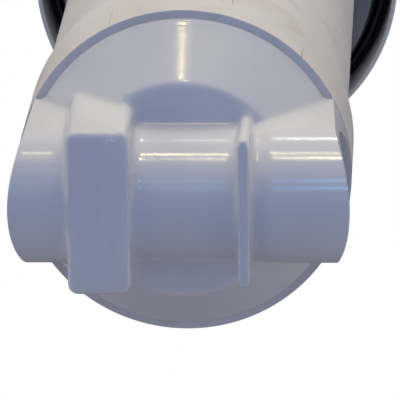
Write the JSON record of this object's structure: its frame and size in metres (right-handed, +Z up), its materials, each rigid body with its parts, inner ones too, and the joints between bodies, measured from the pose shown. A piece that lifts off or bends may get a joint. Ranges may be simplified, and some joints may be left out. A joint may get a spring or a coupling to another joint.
{
  "type": "uv clarifier",
  "caption": "Upright in-line UV water clarifier: a plastic tube on a header with a cross pipe and sockets, a skirted locking ring and a lamp head that lifts out.",
  "frame": {"origin": "centre of the base at the foot ribs' plane, on the chamber tube's axis", "axes": "+Z up the chamber tube towards the lamp head; X along the cross pipe; the foot block is on the -X side; the cable gland points +Y"},
  "size_m": [0.2092, 0.2092, 0.592],
  "materials": {
    "moulded_white": "glossy moulded PVC",
    "pvc_tube": "extruded PVC, matt",
    "pvc_grey": "grey PVC, satin",
    "black_plastic": "glass-filled moulded plastic, satin",
    "black_rubber": "EPDM, satin",
    "quartz": "clear fused quartz",
    "lamp_glass": "soft glass",
    "lamp_white": "moulded PBT",
    "steel": "stainless",
    "zinc": "zinc-plated sheet",
    "brass": "nickel-plated brass",
    "aluminium": "sheet can",
    "lens": "translucent polycarbonate",
    "silicone": "silicone rubber"
  },
  "bodies": {
    "chamber": {"header": "moulded_white", "joint_sleeve": "pvc_tube", "body_tube": "pvc_tube", "body_flange": "pvc_grey", "flow_divider": "pvc_grey", "sleeve_guide": "black_plastic"},
    "head": {"head_base": "black_plastic", "head_seal": "black_rubber", "quartz_sleeve": "quartz", "sleeve_seal": "black_rubber"},
    "sleeve_nut": {"sleeve_nut": "black_plastic"},
    "ring": {"locking_ring": "moulded_white", "ring_insert": "black_plastic", "rim_seal": "black_rubber"},
    "lamp_head": {"lamp_tray": "black_plastic", "head_cover": "moulded_white", "cover_screws": "steel", "sight_lens": "lens", "ballast": "aluminium", "ballast_screws": "steel", "terminal_block": "lamp_white", "socket_bracket": "zinc", "lamp_socket": "lamp_white", "gland_body": "black_plastic", "gland_locknut": "black_plastic", "gland_seal": "black_rubber"},
    "gland_nut": {"gland_nut": "black_plastic"},
    "lamp": {"lamp_tubes": "lamp_glass", "lamp_base": "lamp_white", "lamp_pins": "brass", "lamp_spacer": "silicone"}
  },
  "joints": [
    {"name": "head_lift", "type": "slide", "parent": "chamber", "child": "head", "axis": [0, 0, 1], "range_m": [0, 0.39]},
    {"name": "ring_turn", "type": "hinge", "parent": "head", "child": "ring", "pos_m": [0, 0, 0.486], "axis": [0, 0, 1], "range_deg": [0, 360]},
    {"name": "sleeve_nut_turn", "type": "hinge", "parent": "head", "child": "sleeve_nut", "pos_m": [0, 0, 0.505], "axis": [0, 0, 1], "range_deg": [0, 360]},
    {"name": "lamp_head_lift", "type": "slide", "parent": "head", "child": "lamp_head", "axis": [0, 0, 1], "range_m": [0, 0.4]},
    {"name": "gland_nut_turn", "type": "hinge", "parent": "lamp_head", "child": "gland_nut", "pos_m": [0, 0.096, 0.5413], "axis": [0, 1, 0], "range_deg": [0, 360]},
    {"name": "lamp_unplug", "type": "slide", "parent": "lamp_head", "child": "lamp", "axis": [0, 0, -1], "range_m": [0, 0.012]}
  ]
}
